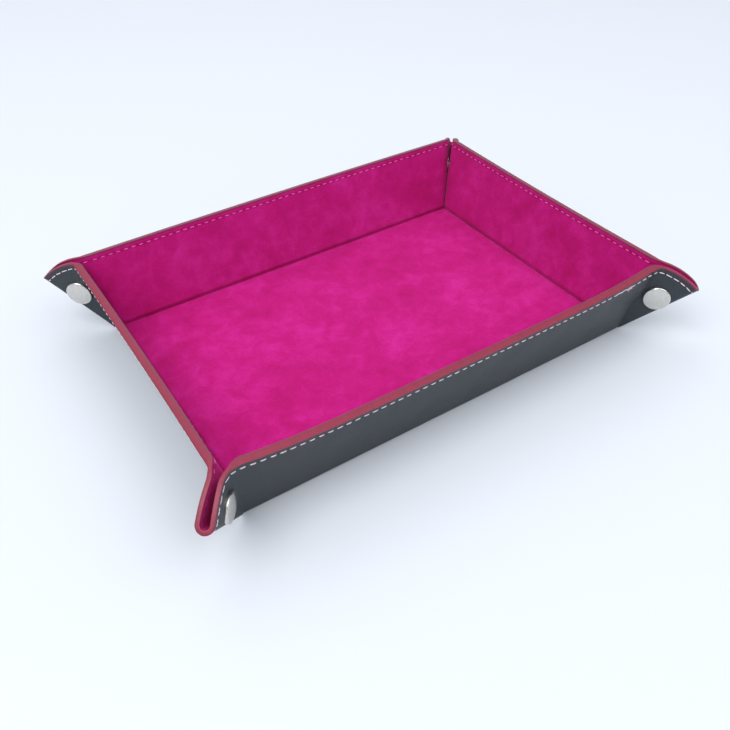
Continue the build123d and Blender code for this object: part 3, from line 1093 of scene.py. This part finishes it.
def loose_fibres(random):
    """A thread's frayed end, outside the front wall: points, faces and sheet places."""
    fibres = []
    x0, y0 = FRAY_PLACE, -(HALF_WIDTH + WALL_HEIGHT - STITCH_INSET)
    for _ in range(FRAY_FIBRES):
        heading = random.uniform(-pi, pi)
        curl = random.uniform(-LARGEST_CURL, LARGEST_CURL)
        length = random.uniform(*FRAY_LENGTHS) * FRAY_REACH
        t = np.linspace(0, 1, 7)
        turn = heading + curl * t
        x = x0 + np.cumsum(np.cos(turn)) * length / len(t)
        y = y0 + np.cumsum(np.sin(turn)) * length / len(t) * FRAY_FLATNESS
        rise = random.uniform(*FRAY_RISES) * MM * np.sin(pi * np.clip(t * 0.8 + 0.1, 0, 1))
        across_x, across_y = -np.sin(turn), np.cos(turn)
        radius = FRAY_THICKNESS / 2 * (1 - FRAY_TAPER * t)
        side = radius[:, None] * np.cos(AROUND)[None, :]
        lift = radius[:, None] * np.sin(AROUND)[None, :]
        ring_x = x[:, None] + across_x[:, None] * side
        ring_y = y[:, None] + across_y[:, None] * side
        ring_w = LEATHER_OUTER - FRAY_LIFT - rise[:, None] + lift
        fibres.append(tube(ring_x, ring_y, ring_w, True))
    return joined(fibres)


def build_stitches():
    """All stitches, joined into one piece for each region and face of the sheet."""
    groups = {}
    random = np.random.default_rng(SEED)
    second_random = np.random.default_rng(SEED + 1)
    quarter = HALF_LENGTH + HALF_WIDTH + 2 * RIM_CENTRE + (CORNER_RADIUS - STITCH_INSET) * pi / 2
    count = round(quarter / STITCH_PITCH)
    pitch = quarter / count
    for corner, sx, sy in CORNERS:
        for index in range(count):
            centre, direction = stitch_line((index + 0.5) * pitch)
            where, on_long = region_at(*centre)
            if where == "long_wall":
                name = "front_wall" if sy < 0 else "back_wall"
            elif where == "short_wall":
                name = "left_wall" if sx < 0 else "right_wall"
            else:
                name = f"{corner}_{where}"
            on_ear = not where.endswith("wall") and crease_distance(*sorted(centre)) > 0
            for face, kind in ((1, "inside"), (-1, "outside")):
                size = (STITCH_LENGTH, STITCH_THICKNESS)
                # Inside the ears the stitches are thinner and take the pink thread darkened as painted shade
                if on_ear and face > 0:
                    kind = "sunk"
                    size = (EAR_STITCH_LENGTH, SUNK_STITCH_THICKNESS)
                elif on_ear:
                    size = (EAR_STITCH_LENGTH, EAR_STITCH_THICKNESS)
                part = stitch_mesh(sx, sy, centre, direction, on_long, face, *size, random)
                groups.setdefault((name, kind), []).append(part)
            if corner == "front_right" and DOUBLED_FROM < (index + 0.5) * pitch < DOUBLED_TO:
                beside = (centre[0] + SECOND_STITCH_ALONG * pitch, centre[1] + SECOND_STITCH_OUT)
                size = (STITCH_LENGTH, STITCH_THICKNESS)
                for face, kind in ((1, "inside"), (-1, "outside")):
                    part = stitch_mesh(sx, sy, beside, direction, True, face, *size, second_random)
                    groups[(name, kind)].append(part)
    groups[("front_wall", "outside")].append(loose_fibres(second_random))
    motions = {name: motion for name, _, _, _, motion, _ in ALL_REGIONS}
    # Stitches sunk inside the ears use the pink thread with painted shade
    threads = {"inside": "pink_thread", "sunk": "sunk_thread", "outside": "pale_thread"}
    for (name, kind), parts in groups.items():
        stitches = f"{name}_stitches_{kind}"
        obj = make_mesh(stitches, *joined(parts), threads[kind], THREAD_SHARPNESS)
        place_piece(obj, motions[name])


build_stitches()


# --- snaps ---

for node_name, node in frame["nodes"].items():
    if node_name.endswith(("_cap", "_socket", "_stud")):
        for material_slot in node.material_slots:
            material_slot.material = materials["snap_metal"]


# --- surroundings ---

TRAY_MIDDLE = (0, 0, 0.02)


def build_floor():
    half = 3.0
    mesh = bpy.data.meshes.new("floor")
    corners = [(-half, -half, 0), (half, -half, 0), (half, half, 0), (-half, half, 0)]
    mesh.from_pydata(corners, [], [(0, 1, 2, 3)])
    floor = bpy.data.objects.new("floor", mesh)
    bpy.context.scene.collection.objects.link(floor)
    material = bpy.data.materials.new("floor")
    material.use_nodes = True
    shader = material.node_tree.nodes["Principled BSDF"]
    shader.inputs["Base Color"].default_value = colour(206, 211, 218)
    shader.inputs["Roughness"].default_value = 0.85
    mesh.materials.append(material)


def build_light(name, place, size, power):
    data = bpy.data.lights.new(name, "AREA")
    data.shape = "DISK"
    data.size = size
    data.energy = power
    light = bpy.data.objects.new(name, data)
    bpy.context.scene.collection.objects.link(light)
    light.location = place
    light.rotation_euler = (Vector(TRAY_MIDDLE) - Vector(place)).to_track_quat("-Z", "Y").to_euler()


def build_world():
    world = bpy.data.worlds.new("studio")
    world.use_nodes = True
    background = world.node_tree.nodes["Background"]
    background.inputs["Strength"].default_value = 0.75
    nodes = world.node_tree.nodes
    links = world.node_tree.links
    direction = nodes.new("ShaderNodeTexCoord")
    height = nodes.new("ShaderNodeSeparateXYZ")
    sky = nodes.new("ShaderNodeValToRGB")
    links.new(direction.outputs["Generated"], height.inputs[0])
    links.new(height.outputs["Z"], sky.inputs["Fac"])
    links.new(sky.outputs["Color"], background.inputs["Color"])
    sky.color_ramp.elements[0].position = 0.02
    sky.color_ramp.elements[0].color = colour(232, 236, 243)
    sky.color_ramp.elements[1].position = 0.45
    sky.color_ramp.elements[1].color = colour(245, 248, 255)
    bpy.context.scene.world = world
    bpy.context.scene.view_settings.view_transform = "Standard"


def build_camera():
    azimuth = radians(-32.26)
    elevation = radians(41.27)
    roll = radians(-1.3)
    distance = 338.7 * MM
    target = Vector((-24.1 * MM, -36.8 * MM, 15.0 * MM))
    forward = Vector(
        (-sin(azimuth) * cos(elevation), cos(azimuth) * cos(elevation), -sin(elevation))
    )
    right = Vector((cos(azimuth), sin(azimuth), 0))
    up = right.cross(forward)
    turned_right = cos(roll) * right + sin(roll) * up
    turned_up = -sin(roll) * right + cos(roll) * up
    data = bpy.data.cameras.new("camera")
    data.lens = 38.73
    data.sensor_width = 36.0
    data.clip_start = 0.01
    data.clip_end = 20.0
    camera = bpy.data.objects.new("camera", data)
    bpy.context.scene.collection.objects.link(camera)
    turn = Matrix((turned_right, turned_up, -forward)).transposed().to_4x4()
    camera.matrix_world = Matrix.Translation(target - forward * distance) @ turn
    bpy.context.scene.camera = camera


build_floor()
build_world()
build_light("key", (-0.9, -0.25, 1.5), 1.3, 19.0)
build_light("fill", (0.5, -0.9, 1.4), 1.5, 9.5)
build_light("back", (0.2, 1.2, 1.6), 1.5, 7.0)
build_camera()
